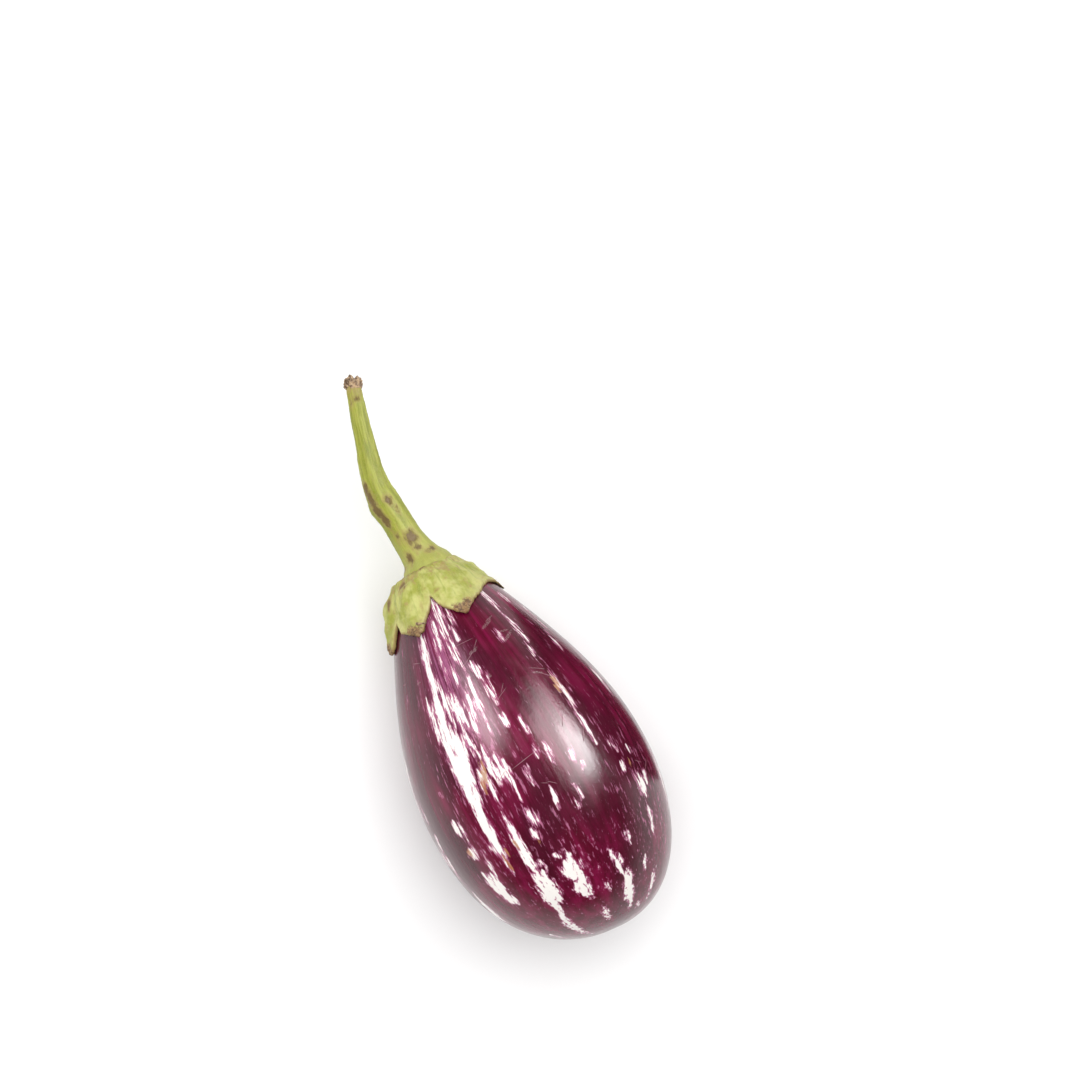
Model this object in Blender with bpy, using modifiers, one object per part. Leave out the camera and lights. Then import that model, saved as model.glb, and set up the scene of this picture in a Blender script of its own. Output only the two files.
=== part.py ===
"""A small striped eggplant, lying on its side on a small flat spot.

Three pieces: the fruit, the green cap that grips its neck, and the stalk.

The fruit is drawn in its own frame, in millimetres. "u" runs along its axis from the widest
ring (u = 0) towards the stalk, and lies along -X. An angle around the axis is 0 at the top
(+Z) and grows towards +Y. An empty tips the whole plant nose up by the small angle at which
such a fruit comes to rest, and puts the middle of its box on the origin.
"""
import math

import bmesh
import bpy
import numpy as np

MM = 0.001
OBJECT_NAME = "eggplant"

# Fruit.
FRUIT_RADIUS = 29.5        # at the widest ring
BLOSSOM_LENGTH = 40.0      # widest ring to the blossom end
BLOSSOM_POWER = 2.2        # 2 would be an ellipse, more is blunter
BLOSSOM_SKEW = 0.08        # how far the blunt end leans towards +Y
NECK_TOP = 60.5            # widest ring to the top of the neck
NECK_RADIUS = 12.9         # where the cosine flank of the neck would level out
NECK_REACH = 53.0          # quarter wave of that flank
SHOULDER_START = 54.0      # the neck starts to close here
SHOULDER_POWER = 2.5
FRUIT_SEGMENTS = 56
FRUIT_RINGS = 34

# The plant tips its neck down by this much, and rests on a flat as deep as this.
TIP_ANGLE = math.radians(4.0)
FLAT_DEPTH = 0.9
SLAB_SIZE = (160.0, 90.0, 20.0)

# Green cap. Each lobe: angle of its tip, u of its tip, angle and u of the notch after it.
PIECE_GAP = 0.35
CAP_THICKNESS = 1.5
CAP_SEGMENTS = 72
CAP_RINGS = 10
CROWN_RADIUS = 7.5         # the flat top that the stalk grows from
CROWN_FADE = 4.0
LOBE_SHARPNESS = 0.85
LOBES = (
    (-78.0, 45.5, -54.0, 51.2),
    (-31.0, 46.7, -4.0, 53.0),
    (17.0, 46.2, 64.0, 50.4),
    (98.0, 47.0, 122.0, 52.0),
    (150.0, 45.5, 186.0, 52.5),
    (222.0, 46.5, 248.0, 52.0),
)

# Stalk: u, sideways offset towards +Y, rise above the fruit's axis, and radius.
STEM_ROUTE = (
    (62.75, 1.1, 0.0, 6.4),
    (64.8, 1.1, 0.0, 5.0),
    (69.7, 0.3, 0.2, 4.0),
    (81.4, -0.5, 0.6, 3.8),
    (86.7, 0.3, 0.6, 3.0),
    (96.8, 2.5, 0.1, 2.25),
    (109.0, 6.0, -0.9, 1.8),
    (112.2, 6.9, -1.2, 2.1),
)
STEM_STEPS = 5
STEM_SIDES_LEVEL = 6


def clear_scene():
    for old in list(bpy.data.objects):
        bpy.data.objects.remove(old, do_unlink=True)


def new_collection(name):
    group = bpy.data.collections.new(name)
    bpy.context.scene.collection.children.link(group)
    return group


def new_material(name, color, roughness):
    material = bpy.data.materials.new(name)
    material.use_nodes = True
    shader = material.node_tree.nodes["Principled BSDF"]
    shader.inputs["Base Color"].default_value = (*color, 1.0)
    shader.inputs["Roughness"].default_value = roughness
    shader.inputs["Metallic"].default_value = 0.0
    return material


def add_object(name, data, group, parent, material=None):
    piece = bpy.data.objects.new(name, data)
    group.objects.link(piece)
    piece.parent = parent
    if material is not None:
        data.materials.append(material)
    return piece


def fruit_radius(u):
    """Radius of the fruit at u: a blunt end, a cosine flank and a rounded shoulder."""
    u = np.asarray(u, dtype=float)
    below = np.clip(-u / BLOSSOM_LENGTH, 0.0, 1.0)
    end = FRUIT_RADIUS * (1.0 - below ** BLOSSOM_POWER) ** (1.0 / BLOSSOM_POWER)
    wave = np.cos(0.5 * math.pi * u / NECK_REACH)
    flank = NECK_RADIUS + (FRUIT_RADIUS - NECK_RADIUS) * wave
    closing = np.clip((u - SHOULDER_START) / (NECK_TOP - SHOULDER_START), 0.0, 1.0)
    return np.where(u < 0.0, end, flank * np.sqrt(1.0 - closing ** SHOULDER_POWER))


def axis_point(u, radius, angle):
    """A point at u along the axis, out from it by radius, in metres."""
    side = radius * math.sin(angle)
    lean = BLOSSOM_SKEW * side * max(0.0, -u / BLOSSOM_LENGTH) ** 2
    return (MM * (lean - u), MM * side, MM * radius * math.cos(angle))


def make_fruit(group, parent):
    """A sphere whose rings are moved to the fruit's profile."""
    mesh = bpy.data.meshes.new("fruit")
    sphere = bmesh.new()
    bmesh.ops.create_uvsphere(sphere, u_segments=FRUIT_SEGMENTS, v_segments=FRUIT_RINGS, radius=1.0)
    middle = 0.5 * (NECK_TOP - BLOSSOM_LENGTH)
    half = 0.5 * (NECK_TOP + BLOSSOM_LENGTH)
    for vertex in sphere.verts:
        u = middle + half * max(-1.0, min(1.0, vertex.co.z))
        angle = math.atan2(vertex.co.y, vertex.co.x)
        vertex.co = axis_point(u, float(fruit_radius(u)), angle)
    sphere.to_mesh(mesh)
    sphere.free()
    mesh.shade_smooth()
    skin = new_material("skin", (0.14, 0.008, 0.045), 0.28)
    return add_object("fruit", mesh, group, parent, skin)


def lobe_edge(angle):
    """u of the cap's edge at an angle in degrees: high at the notches, low at the lobe tips."""
    count = len(LOBES)
    for index in range(count):
        tip_angle, tip, notch_angle, notch = LOBES[index]
        next_angle, next_tip = LOBES[(index + 1) % count][:2]
        if index == count - 1:
            next_angle += 360.0
        turn = (angle - tip_angle) % 360.0 + tip_angle
        if turn <= notch_angle:
            part = (turn - tip_angle) / (notch_angle - tip_angle)
            return tip + (notch - tip) * part ** LOBE_SHARPNESS
        if turn <= next_angle:
            part = (next_angle - turn) / (next_angle - notch_angle)
            return next_tip + (notch - next_tip) * part ** LOBE_SHARPNESS
    return LOBES[0][1]


def neck_path():
    """The neck's outline from the middle of its top down the flank: length, u and radius."""
    sweep = np.linspace(0.0, 1.0, 400) ** 2
    u = NECK_TOP - sweep * NECK_TOP
    radius = fruit_radius(u)
    steps = np.hypot(np.diff(u), np.diff(radius))
    return np.concatenate(([0.0], np.cumsum(steps))), u, radius


def make_cap(group, parent):
    """Half a sphere draped over the neck, its edge cut into lobes, then made thick."""
    length, path_u, path_radius = neck_path()
    slope_u = np.gradient(path_u, length)
    slope_radius = np.gradient(path_radius, length)
    mesh = bpy.data.meshes.new("calyx")
    drape = bmesh.new()
    bmesh.ops.create_uvsphere(drape, u_segments=CAP_SEGMENTS, v_segments=2 * CAP_RINGS, radius=1.0)
    below = [vertex for vertex in drape.verts if vertex.co.z < -1e-4]
    bmesh.ops.delete(drape, geom=below, context="VERTS")
    for vertex in drape.verts:
        angle = math.atan2(vertex.co.y, vertex.co.x)
        edge = np.interp(-lobe_edge(math.degrees(angle)), -path_u, length)
        out = math.acos(max(-1.0, min(1.0, vertex.co.z))) / (0.5 * math.pi)
        at = edge * out
        u = float(np.interp(at, length, path_u))
        radius = float(np.interp(at, length, path_radius))
        u += PIECE_GAP * float(np.interp(at, length, slope_radius))
        radius -= PIECE_GAP * float(np.interp(at, length, slope_u))
        crown = max(0.0, min(1.0, 1.0 - (radius - CROWN_RADIUS) / CROWN_FADE))
        crown = crown * crown * (3.0 - 2.0 * crown)
        u += crown * (NECK_TOP + PIECE_GAP - u)
        vertex.co = axis_point(u, radius if at > 0.0 else 0.0, angle)
    drape.to_mesh(mesh)
    drape.free()
    mesh.shade_smooth()
    green = new_material("cap_green", (0.36, 0.42, 0.09), 0.6)
    cap = add_object("calyx", mesh, group, parent, green)
    shell = cap.modifiers.new("thickness", "SOLIDIFY")
    shell.thickness = CAP_THICKNESS * MM
    shell.offset = 1.0
    return cap


def make_stem(group, parent):
    """A tube along the stalk's route, with the radius given at each point."""
    route = bpy.data.curves.new("stem", "CURVE")
    route.dimensions = "3D"
    route.bevel_depth = MM
    route.bevel_resolution = STEM_SIDES_LEVEL
    route.resolution_u = STEM_STEPS
    route.use_fill_caps = True
    spline = route.splines.new("BEZIER")
    spline.bezier_points.add(len(STEM_ROUTE) - 1)
    for point, (u, side, rise, radius) in zip(spline.bezier_points, STEM_ROUTE):
        point.co = (-u * MM, side * MM, rise * MM)
        point.radius = radius
        point.handle_left_type = "AUTO"
        point.handle_right_type = "AUTO"
    green = new_material("stem_green", (0.30, 0.36, 0.06), 0.55)
    return add_object("stem", route, group, parent, green)


def cut_flat(fruit, group):
    """The small flat that the fruit rests on, cut at height zero."""
    slab = bmesh.new()
    bmesh.ops.create_cube(slab, size=MM)
    bmesh.ops.scale(slab, vec=SLAB_SIZE, verts=slab.verts)
    mesh = bpy.data.meshes.new("ground_slab")
    slab.to_mesh(mesh)
    slab.free()
    cutter = add_object("ground_slab", mesh, group, None)
    cutter.location = (0.0, 0.0, -0.5 * SLAB_SIZE[2] * MM)
    cutter.hide_render = True
    cutter.display_type = "WIRE"
    cut = fruit.modifiers.new("flat", "BOOLEAN")
    cut.operation = "DIFFERENCE"
    cut.object = cutter


def rest_height():
    """Height of the axis at the widest ring above the ground, with the plant tipped."""
    u = np.linspace(-BLOSSOM_LENGTH, NECK_TOP, 2001)
    lowest = np.max(fruit_radius(u) * math.cos(TIP_ANGLE) + u * math.sin(TIP_ANGLE))
    return float(lowest) - FLAT_DEPTH


def centre_on_origin(root, pieces):
    """Slides the plant along the ground until the middle of its box is over the origin."""
    bpy.context.view_layer.update()
    graph = bpy.context.evaluated_depsgraph_get()
    corners = []
    for piece in pieces:
        seen = piece.evaluated_get(graph)
        mesh = seen.to_mesh()
        corners.extend(seen.matrix_world @ vertex.co for vertex in mesh.vertices)
        seen.to_mesh_clear()
    for axis in (0, 1):
        values = [corner[axis] for corner in corners]
        root.location[axis] -= 0.5 * (min(values) + max(values))


def main():
    clear_scene()
    parts = new_collection(OBJECT_NAME)
    cutters = new_collection("cutters")
    root = bpy.data.objects.new("plant", None)
    parts.objects.link(root)
    root.rotation_euler = (0.0, -TIP_ANGLE, 0.0)
    root.location = (0.0, 0.0, rest_height() * MM)
    fruit = make_fruit(parts, root)
    cap = make_cap(parts, root)
    stem = make_stem(parts, root)
    cut_flat(fruit, cutters)
    centre_on_origin(root, (fruit, cap, stem))


main()
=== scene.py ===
"""The looks of a small striped eggplant lying on its side, seen from above.

The fruit is drawn in its own frame, in millimetres. "s" is the distance along its axis from
the blossom end, and lies along -X. An angle around the axis is 0 at the top (+Z) and grows
towards +Y. One matrix then tips the plant neck down and sets it where the CAD fruit is.
"""
import math

import bpy
import numpy as np
from mathutils import Matrix, Vector


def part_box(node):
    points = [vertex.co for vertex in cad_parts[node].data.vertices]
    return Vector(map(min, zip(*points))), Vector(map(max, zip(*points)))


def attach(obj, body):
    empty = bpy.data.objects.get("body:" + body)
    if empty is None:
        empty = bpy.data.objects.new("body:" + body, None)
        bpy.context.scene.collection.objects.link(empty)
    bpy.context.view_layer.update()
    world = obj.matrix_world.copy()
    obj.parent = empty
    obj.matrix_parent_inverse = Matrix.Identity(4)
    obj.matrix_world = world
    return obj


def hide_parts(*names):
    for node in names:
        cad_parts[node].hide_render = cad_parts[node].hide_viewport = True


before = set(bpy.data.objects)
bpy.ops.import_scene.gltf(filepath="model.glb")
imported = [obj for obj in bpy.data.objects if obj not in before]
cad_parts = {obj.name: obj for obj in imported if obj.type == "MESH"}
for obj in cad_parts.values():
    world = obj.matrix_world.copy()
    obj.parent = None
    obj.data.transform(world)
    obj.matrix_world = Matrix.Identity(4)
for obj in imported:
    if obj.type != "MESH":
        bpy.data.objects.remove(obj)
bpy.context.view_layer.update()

MM = 0.001
SEED = 7

# Fruit, as in the CAD.
FRUIT_RADIUS = 29.5
BLOSSOM_LENGTH = 40.0
BLOSSOM_POWER = 2.2
BLOSSOM_SKEW = 0.08
NECK_TOP = 60.5
NECK_RADIUS = 12.9
NECK_REACH = 53.0
SHOULDER_START = 54.0
SHOULDER_POWER = 2.5
TIP_ANGLE = math.radians(4.0)
FRUIT_COLUMNS = 440
FRUIT_ROWS = 218

# Pale streaks of the skin: angle and s at one end, angle and s at the other, half width.
STREAKS = (
    # The bold streak left of the middle, and its broken fringe.
    (-30.5, 23, -28.8, 46, 1.25), (-28, 38, -27, 57, 1.9), (-30, 40, -30, 64, 1.5),
    (-25, 46, -24.5, 63, 1.5), (-22, 53.5, -20.5, 61, 1), (-28.5, 55, -29, 74, 1.7),
    (-28.5, 66, -27.6, 90, 1), (-33, 58, -36, 72, 0.7), (-34.5, 62, -35, 68, 0.8),
    (-22, 61, -23.5, 75, 0.5), (-31, 47, -32.5, 53, 0.7),
    # The long one beside it, from the blossom end.
    (-31, 0.8, -24, 12, 0.9), (-24, 8, -20.5, 24, 1.4), (-18.5, 11.5, -16, 22.5, 1.4),
    (-20, 17, -17.8, 40, 1.15), (-13, 21, -15.5, 25, 0.6),
    # The chunky one in the middle near the blossom end.
    (1, 9.6, -1, 24.5, 0.95), (-2.4, 10.4, -2.8, 16, 1.4), (-4.6, 12.5, -4.6, 16, 0.8),
    (-3.4, 15.4, -3.2, 22, 1.9), (-3.6, 22, -6.5, 24.5, 0.5), (4.6, 17.6, 3.2, 20.3, 0.6),
    # Thin ones in the middle.
    (-6.6, 31, -6.6, 37.5, 0.6), (-7.2, 38, -8.2, 50, 0.75), (-9.8, 28.5, -9.8, 32.5, 0.6),
    (-6.4, 45, -6.6, 50.5, 0.5), (-9.6, 45.5, -9, 52.5, 0.7), (-12, 44, -10.6, 50, 0.6),
    (-14.2, 46, -13.2, 56, 0.7), (-17.5, 40.5, -17.5, 52, 0.6), (-16.4, 52, -18.5, 60, 0.8),
    (-20.2, 43, -20.4, 51, 0.6), (-12, 56, -12.5, 68, 0.45), (-15.5, 58, -16.4, 70, 0.5),
    (-18.2, 59, -19.6, 72, 0.42), (-9, 60, -9.2, 70, 0.36), (-5.4, 55, -4.4, 75, 0.5),
    (-4.6, 68, -4, 92, 0.28), (-8.2, 76.5, -8.2, 87.5, 0.32), (-11.4, 70, -11.6, 88, 0.2),
    (-14, 80, -13.4, 90, 0.3), (-16.8, 72, -17.2, 84, 0.2), (-7, 84, -5, 96, 0.3),
    (-1.6, 84, -2, 93, 0.2),
    # Lower left cluster.
    (-40, 25, -39.2, 33.5, 0.6), (-45, 15.5, -43, 28.5, 1.6), (-47.5, 20, -47.6, 28.5, 0.8),
    (-42.5, 16, -40, 20.5, 0.6), (-42, 24.6, -43.5, 27.5, 0.8), (-44.2, 30.6, -43.6, 35.5, 0.8),
    (-46.4, 30.8, -46, 35, 1), (-43.8, 34, -43.8, 41.5, 0.4), (-46.2, 37.5, -46.6, 43, 0.8),
    (-47, 48, -47, 50.5, 0.4),
    # Far left edge.
    (-76, 12, -71, 25, 1.5), (-80, 14, -76, 19, 1.3), (-83, 7, -84, 12, 1.2), (-74.5, 28, -72.5, 36, 0.8),
    (-78, 32, -78, 38.5, 0.9), (-72.5, 36, -71, 42, 0.6), (-72, 44, -72.5, 51, 0.6),
    (-80, 44, -81, 66, 1), (-58, 3, -56, 6, 0.5),
    # Right of the middle.
    (28, 3.4, 26, 13.5, 1.3), (29, 7, 27.6, 13.5, 0.9), (25.6, 5, 25.5, 10.5, 0.9),
    (24.4, 11.5, 20.4, 19.6, 0.8), (25, 14, 23.5, 18, 0.45), (3, 3.2, 4, 7, 0.7),
    (34.2, 17, 34, 22.8, 0.4), (42, 10, 43, 14, 0.45), (42, 3, 38.5, 4.6, 0.5),
    (52, 3.6, 52.5, 10.5, 0.7), (54, 16.5, 54.5, 26, 0.5), (55.5, 25, 55.5, 33, 1.1),
    (53.4, 26, 53, 32.5, 0.8), (60.5, 28, 60.5, 32, 0.5), (57, 36, 56.5, 39.5, 0.6),
    (47, 33, 47, 36.5, 0.5), (48.5, 38, 46.5, 42.5, 0.5), (15.2, 30.5, 15, 34, 0.5),
    (6.2, 32.5, 7.2, 39.5, 0.4), (1, 40.5, 1.4, 46.5, 0.4), (14.6, 42, 14.6, 49.5, 0.45),
    (23.4, 40.5, 23.4, 45, 0.45), (26.5, 38, 26, 41, 0.35), (18.8, 32, 18, 37, 0.4),
    (8.8, 45.5, 9.4, 49.5, 0.4), (10.3, 52, 10.3, 57.5, 0.3), (12.4, 9.8, 12, 12.5, 0.45),
    # The thin rosy streak that runs from the cap down the right side.
    (38.6, 42, 38.2, 56, 0.3), (39.4, 52, 40, 64, 0.45), (40.4, 68.5, 40.8, 73, 0.3),
    (43.2, 72, 44.6, 82, 0.4), (45, 81, 45.4, 91, 0.38), (28, 74.5, 28.2, 79.5, 0.35),
    (3.2, 55.5, 2.8, 60, 0.5), (3.6, 61.5, 3.4, 70.5, 0.5), (2.4, 68.5, 1.8, 75, 0.5),
    (4.6, 83.5, 4.2, 90, 0.25), (1.2, 80, 1, 85, 0.15), (5.4, 64, 5, 73, 0.3),
    # Right edge.
    (75, 51, 75.4, 60.5, 0.6), (62.5, 66, 65.5, 74, 0.45), (71, 73, 75.5, 83, 0.45),
    (62.8, 82, 62.8, 87.5, 0.4), (84, 20, 83, 40, 0.8),
)
# Rusty scars among the streaks: angle, s, half length and half width.
SCARS = (
    (-18, 48.5, 3.6, 0.8), (-20.6, 46.5, 4, 0.6), (-16.6, 50.5, 2.6, 0.5), (-29.6, 27, 3, 0.5),
    (-9.4, 28, 1.2, 0.4), (-20.2, 30, 2, 0.5), (39, 61, 2.6, 0.9), (37.6, 59, 1.6, 0.7),
    (40.6, 57.5, 1.4, 0.4), (-47.4, 33.4, 1.8, 0.9), (-26.5, 29.5, 1.6, 0.4), (53, 35, 1.5, 0.5),
    (140, 34, 2.4, 0.8), (-122, 55, 2.6, 0.6), (104, 60, 2, 0.6),
)
HIDDEN_STREAKS = 70
# Width over which a streak's edge fades, for the noise to break up.
FRINGE = 2.3
# Depth of the dried scar at the blossom end.
END_DIP = 0.6

# Where loose flecks are dense or missing: angle, s, half angle, half length, amount.
FLECK_ZONES = (
    (50, 28, 16, 18, 0.9), (-38, 34, 9, 20, 0.8), (6, 24, 20, 16, 0.7), (-14, 50, 13, 18, 0.9),
    (40, 58, 7, 16, 0.8), (-14, 76, 12, 16, 0.8), (-38, 66, 8, 16, 0.7), (65, 30, 9, 20, 0.7),
    (4, 66, 5, 12, 0.5), (22, 50, 13, 16, -0.9), (-64, 48, 14, 34, -0.9), (20, 74, 12, 14, -0.6),
)

# Scuffs and scratches: angle, s, half length, half width, turn from the axis in degrees.
SCUFFS = (
    (34, 76, 2.6, 0.55, 62), (34, 77.6, 1.6, 0.35, 100), (26, 81, 2.4, 0.6, 68), (31, 82, 1.6, 0.3, 74),
    (8, 76.6, 1.3, 0.5, 60), (4.5, 76.4, 0.9, 0.4, 55), (33, 64.5, 2, 0.35, 115),
    (7.6, 69.2, 0.7, 0.6, 0), (-40, 76, 1, 0.35, 80),
)
SCRATCHES = (
    (2, 47.2, 4.2, 0.14, 80), (-10, 46.4, 2.2, 0.12, 62), (8, 63.8, 2.4, 0.11, 63),
    (10, 65, 1.5, 0.10, 40), (0.5, 75.2, 3.6, 0.12, 60), (3, 79.5, 3.2, 0.11, 92),
    (10, 77.8, 1.4, 0.10, 45), (35, 46.4, 2.6, 0.16, 32), (28.6, 51.4, 1.7, 0.14, 30),
    (31, 56, 1.2, 0.12, 120), (37, 63, 3.4, 0.13, 128), (34.5, 65.5, 2.2, 0.12, 118),
    (9, 39.4, 1.6, 0.12, 130), (6, 40, 1.2, 0.10, 118), (-39, 80.6, 1.4, 0.12, 108),
    (66, 32.5, 2.4, 0.12, 55), (60, 34, 1.6, 0.12, 118), (-57, 77.5, 1.1, 0.12, 90),
    (118, 48, 3, 0.13, 60), (-105, 62, 2.4, 0.13, 115), (150, 66, 2.6, 0.12, 35),
)

# Edge of the green cap: angle and s of each turn of its outline.
CAP_OUTLINE = (
    (-84, 86), (-78, 85.5), (-71, 85.6), (-66.5, 86.6), (-63, 88.4), (-58.5, 90.2), (-54, 91.4),
    (-51.5, 89.6), (-48, 88.5), (-40, 87.7), (-33, 86.5), (-27, 85.5), (-22, 86.4), (-18, 88.6),
    (-12, 90.1), (-8, 91.4), (-4, 93.6), (-1, 91), (3, 89.3), (8, 87.8), (12, 86.3), (17, 84.9),
    (23, 86.2), (31, 87.8), (40, 88.5), (50, 89.7), (62, 90.5), (72, 90.3), (82, 89.9), (90, 89),
    (98, 87.6), (106, 88.6), (118, 91.2), (124, 92.4), (130, 90.8), (140, 87.6), (150, 85.2), (158, 86.6),
    (170, 89.8), (184, 92.6), (196, 90.6), (208, 87.8), (220, 86), (230, 86.9), (240, 90.2), (248, 92.2),
    (256, 90.2), (267, 87.4),
)
# Middle lines of the lobes, each with the half width of its dried brown tip and its curl.
LOBE_TIPS = (
    (-78, 9, 0.35), (-30, 8, 1), (18, 9, 1), (98, 11, 0.05), (150, 6, 0.8), (221, 7, 0.8),
)
LOBE_VALLEYS = (-54.0, -4.0, 64.0, 123.0, 184.0, 248.0)
# Brown blotches of the cap: length along it, angle, half length, half width, strength.
CAP_MARKS = (
    (9.6, -36, 1.4, 1.8, 0.85), (11, -28, 1, 1, 0.6), (12, -62, 2, 1.2, 0.75), (8.6, -70, 1.2, 1.6, 0.6),
    (6.4, 0, 0.7, 3.4, 0.7), (6.8, 42, 0.8, 2.6, 0.75), (9, 60, 1.6, 0.6, 0.5), (7, -48, 0.8, 2.2, 0.7),
    (15, 4, 0.6, 1.4, 0.45), (17, -16, 1.6, 0.5, 0.4), (10, 120, 1.8, 1.4, 0.7), (14, 200, 2, 1, 0.7),
    (8, 240, 1.2, 2, 0.7), (16, 160, 1.2, 1.2, 0.5),
)
THORN_START = (-26.0, 88.6)
THORN_END = (-14.5, 86.8)
THORN_RADIUS = 0.5
THORN_GRID = (16, 10)
# Height of the hook's middle line over the neck at its start, and its rise.
THORN_STAND = 1.3
THORN_RISE = 1.5
CAP_COLUMNS = 480
CAP_ROWS = 46
CAP_INNER_START = 4.0
CAP_GAP = 0.12
CAP_THICKNESS = 1.75
CAP_RIM = 0.5
# Typical radii that turn angles into lengths, for noise and marks on the cap and the stalk.
CAP_EDGE_RADIUS = 16.0
CAP_GRAIN_RADIUS = 15.0
CAP_MARK_RADIUS = 13.0
STEM_GRAIN_RADIUS = 4.0

# Stalk: u from the widest ring, sideways offset towards +Y, rise, radius.
STEM_ROUTE = (
    (60.2, 1.3, 0.0, 7.2), (62.6, 1.2, 0.0, 6.3), (64.2, 1.05, 0.0, 5.2), (66.5, 0.7, 0.1, 4.45),
    (69.7, 0.3, 0.2, 4.05), (75.5, -0.1, 0.4, 3.85), (81.4, -0.6, 0.6, 3.9), (84.1, -0.6, 0.6, 3.6),
    (86.7, -0.3, 0.6, 3.3), (91.8, 0.7, 0.35, 2.85), (96.8, 2.1, 0.1, 2.5), (101.8, 3.35, -0.3, 2.3),
    (106.7, 4.8, -0.7, 2.05), (109.8, 5.7, -0.9, 1.95), (110.7, 6.0, -1.0, 1.8),
)
STEM_COLUMNS = 96
STEM_ROWS = 260
KNUCKLE_AT = 20.0
KNUCKLE_REACH = 2.2
# Dried end of the stalk: rings and points on each, radius where it starts, how much it widens,
# how deep it starts in the stalk, its length, and the depth of its hollow.
DRIED_GRID = (60, 90)
DRIED_RADIUS = 1.45
DRIED_FLARE = 0.75
DRIED_ROOT = 1.2
DRIED_LENGTH = 3.3
DRIED_HOLLOW = 1.5
# Brown marks of the stalk: distance from its buried start, angle, half length, half width, strength.
STEM_MARKS = (
    (25.4, -56, 2.4, 1.3, 1), (22.6, -46, 3.2, 1.5, 1), (19.6, -40, 3.4, 1.55, 1),
    (16.6, -38, 2.8, 1.4, 1), (20.6, 18, 1.9, 1.5, 0.8), (17.4, 26, 1.6, 1, 0.55),
    (9.6, 16, 2.6, 2.3, 0.95), (6.6, 12, 1.8, 1.5, 0.65), (5.4, -32, 2.4, 1.4, 0.8),
    (11.4, -30, 2.2, 1, 0.6), (14, 160, 3.2, 1.2, 0.9), (27.6, 130, 2.6, 0.8, 0.7),
    (9.6, -140, 2.4, 1.2, 0.8), (47, -40, 1.8, 0.8, 0.5), (48, 10, 1.2, 1.6, 0.6),
    (37.6, 95, 2, 0.5, 0.5), (4.4, 44, 1.2, 2.4, 0.7), (3.8, -74, 1, 1.8, 0.7),
)

# Camera over the fruit, its picture's up leaning with the stalk.
VIEW_AZIMUTH = math.radians(62.0)
CAMERA_LENS = 100.0
CAMERA_POINT = (-0.0179, 0.0294)
CAMERA_HEIGHT = 0.778

# Studio, in metres.
FLOOR_SIZE = 40.0
FLOOR_DROP = 0.00005
FLAG_CORNERS = ((-0.03, 0.045, 0.0), (0.055, 0.045, 0.0), (0.055, 0.085, 0.055), (-0.03, 0.085, 0.055))
LIGHT_TARGET = (0.02, 0.0, 0.02)
# Lamps: name, azimuth round +Z (0 is +X), elevation, distance, size, power, in reflections, on surfaces.
LAMPS = (
    ("key", 110.0, 66.0, 1.2, (1.2, 1.2), 12.0, False, True),
    ("window", 108.0, 40.0, 0.8, (0.50, 0.56), 6.9, True, False),
    ("window_core", 99.0, 32.0, 0.8, (0.30, 0.28), 3.7, True, False),
    ("back_window", 200.0, 50.0, 0.8, (0.38, 0.30), 3.2, True, False),
)
SKY_POWER = 2.35
SKY_SPREAD = math.radians(120.0)
SKY_WAY = (-0.30, -0.35, 0.89)
# Brightness of the surroundings at the horizon and overhead, and how high up it has faded.
WORLD_LOW = 0.85
WORLD_HIGH = 0.08
WORLD_FADE = 0.25


# ---- shapes

def smooth(low, high, value):
    """0 below low, 1 above high, with an easy step between."""
    part = np.clip((value - low) / (high - low), 0.0, 1.0)
    return part * part * (3.0 - 2.0 * part)


def angle_apart(degrees, centre):
    """How far an angle is from another, the short way round."""
    return (degrees - centre + 180.0) % 360.0 - 180.0


def unit(vectors):
    """Vectors scaled to a length of 1."""
    return vectors / np.linalg.norm(vectors, axis=-1, keepdims=True)


def across(forward):
    """Unit vectors to the right of a direction and above it."""
    right = unit(np.cross(forward, (0.0, 0.0, 1.0)))
    return right, np.cross(right, forward)


def fruit_radius(u):
    """Radius of the fruit at u: a blunt end, a cosine flank and a rounded shoulder."""
    u = np.asarray(u, dtype=float)
    below = np.clip(-u / BLOSSOM_LENGTH, 0.0, 1.0)
    end = FRUIT_RADIUS * (1.0 - below ** BLOSSOM_POWER) ** (1.0 / BLOSSOM_POWER)
    wave = np.cos(0.5 * math.pi * u / NECK_REACH)
    flank = NECK_RADIUS + (FRUIT_RADIUS - NECK_RADIUS) * wave
    closing = np.clip((u - SHOULDER_START) / (NECK_TOP - SHOULDER_START), 0.0, 1.0)
    return np.where(u < 0.0, end, flank * np.sqrt(1.0 - closing ** SHOULDER_POWER))


def local_points(u, radius, angle):
    """Points at u along the axis, out from it by radius, in millimetres."""
    side = radius * np.sin(angle)
    lean = BLOSSOM_SKEW * side * np.clip(-u / BLOSSOM_LENGTH, 0.0, None) ** 2
    return np.stack((lean - u, side, radius * np.cos(angle)), axis=-1)


def tipped(points):
    """The points with the neck tipped down, still in millimetres."""
    turn = np.array(Matrix.Rotation(-TIP_ANGLE, 3, "Y"))
    return points @ turn.T


def plant_offset():
    """Where the plant's own origin lies, read from the CAD fruit's box."""
    u, angle = np.meshgrid(np.linspace(-BLOSSOM_LENGTH, NECK_TOP, 600), np.linspace(0, math.tau, 361))
    shape = tipped(local_points(u, fruit_radius(u), angle)).reshape(-1, 3)
    low, high = (np.array(corner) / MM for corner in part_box("fruit"))
    middle = 0.5 * (low[1] + high[1]) - 0.5 * (shape[:, 1].min() + shape[:, 1].max())
    return np.array((high[0] - shape[:, 0].max(), middle, high[2] - shape[:, 2].max()))


OFFSET = plant_offset()


def to_world(points):
    """Local millimetres to world metres."""
    return (tipped(points) + OFFSET) * MM


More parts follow.
